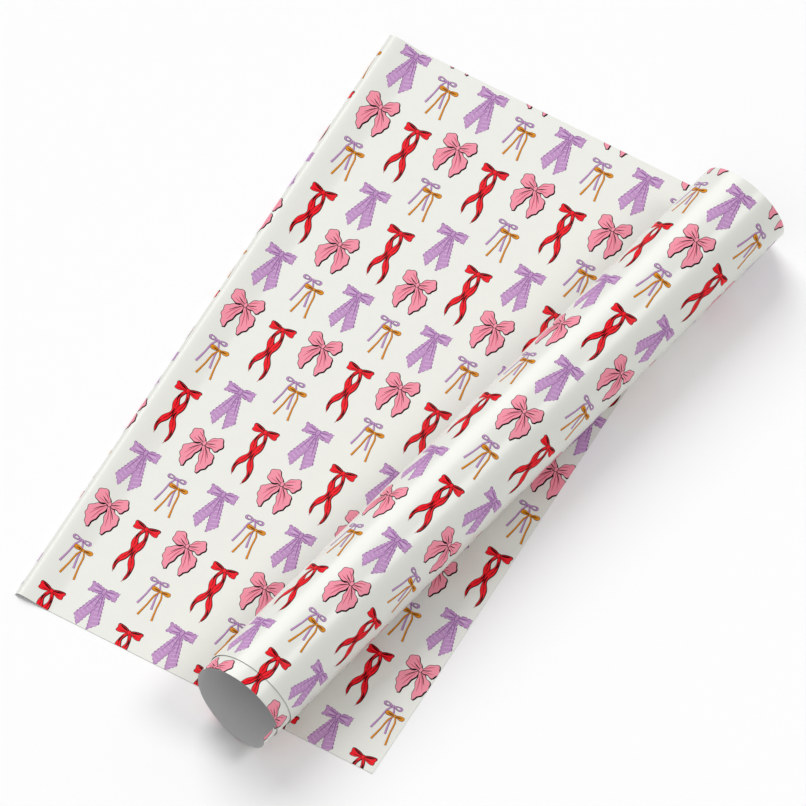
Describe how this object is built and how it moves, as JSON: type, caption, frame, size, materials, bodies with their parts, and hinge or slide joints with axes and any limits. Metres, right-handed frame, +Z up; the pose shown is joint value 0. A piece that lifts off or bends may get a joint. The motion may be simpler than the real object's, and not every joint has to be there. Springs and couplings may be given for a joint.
{
  "type": "gift wrapping paper",
  "caption": "Gift wrap printed with small bows: a sheet laid flat with a curled edge, and a loosely rolled sheet lying across it.",
  "frame": {"origin": "on the table, straight under the middle of the rolled sheet, on the laid sheet's underside", "axes": "+Z is up; +Y runs along the roll, from its near mouth, where the inner turns stand out, to its far end; +X is to the right of the roll"},
  "size_m": [0.5612, 0.8296, 0.1014],
  "materials": {
    "laid_paper": "satin coated, printed on one side",
    "rolled_paper": "satin coated, printed on one side"
  },
  "bodies": {
    "laid": {"laid_sheet": "laid_paper"},
    "rolled": {"rolled_sheet": "rolled_paper"}
  },
  "joints": [
    {"name": "roll_lift", "type": "slide", "parent": "laid", "child": "rolled", "axis": [0, 0, 1], "range_m": [0, 0.15]}
  ]
}
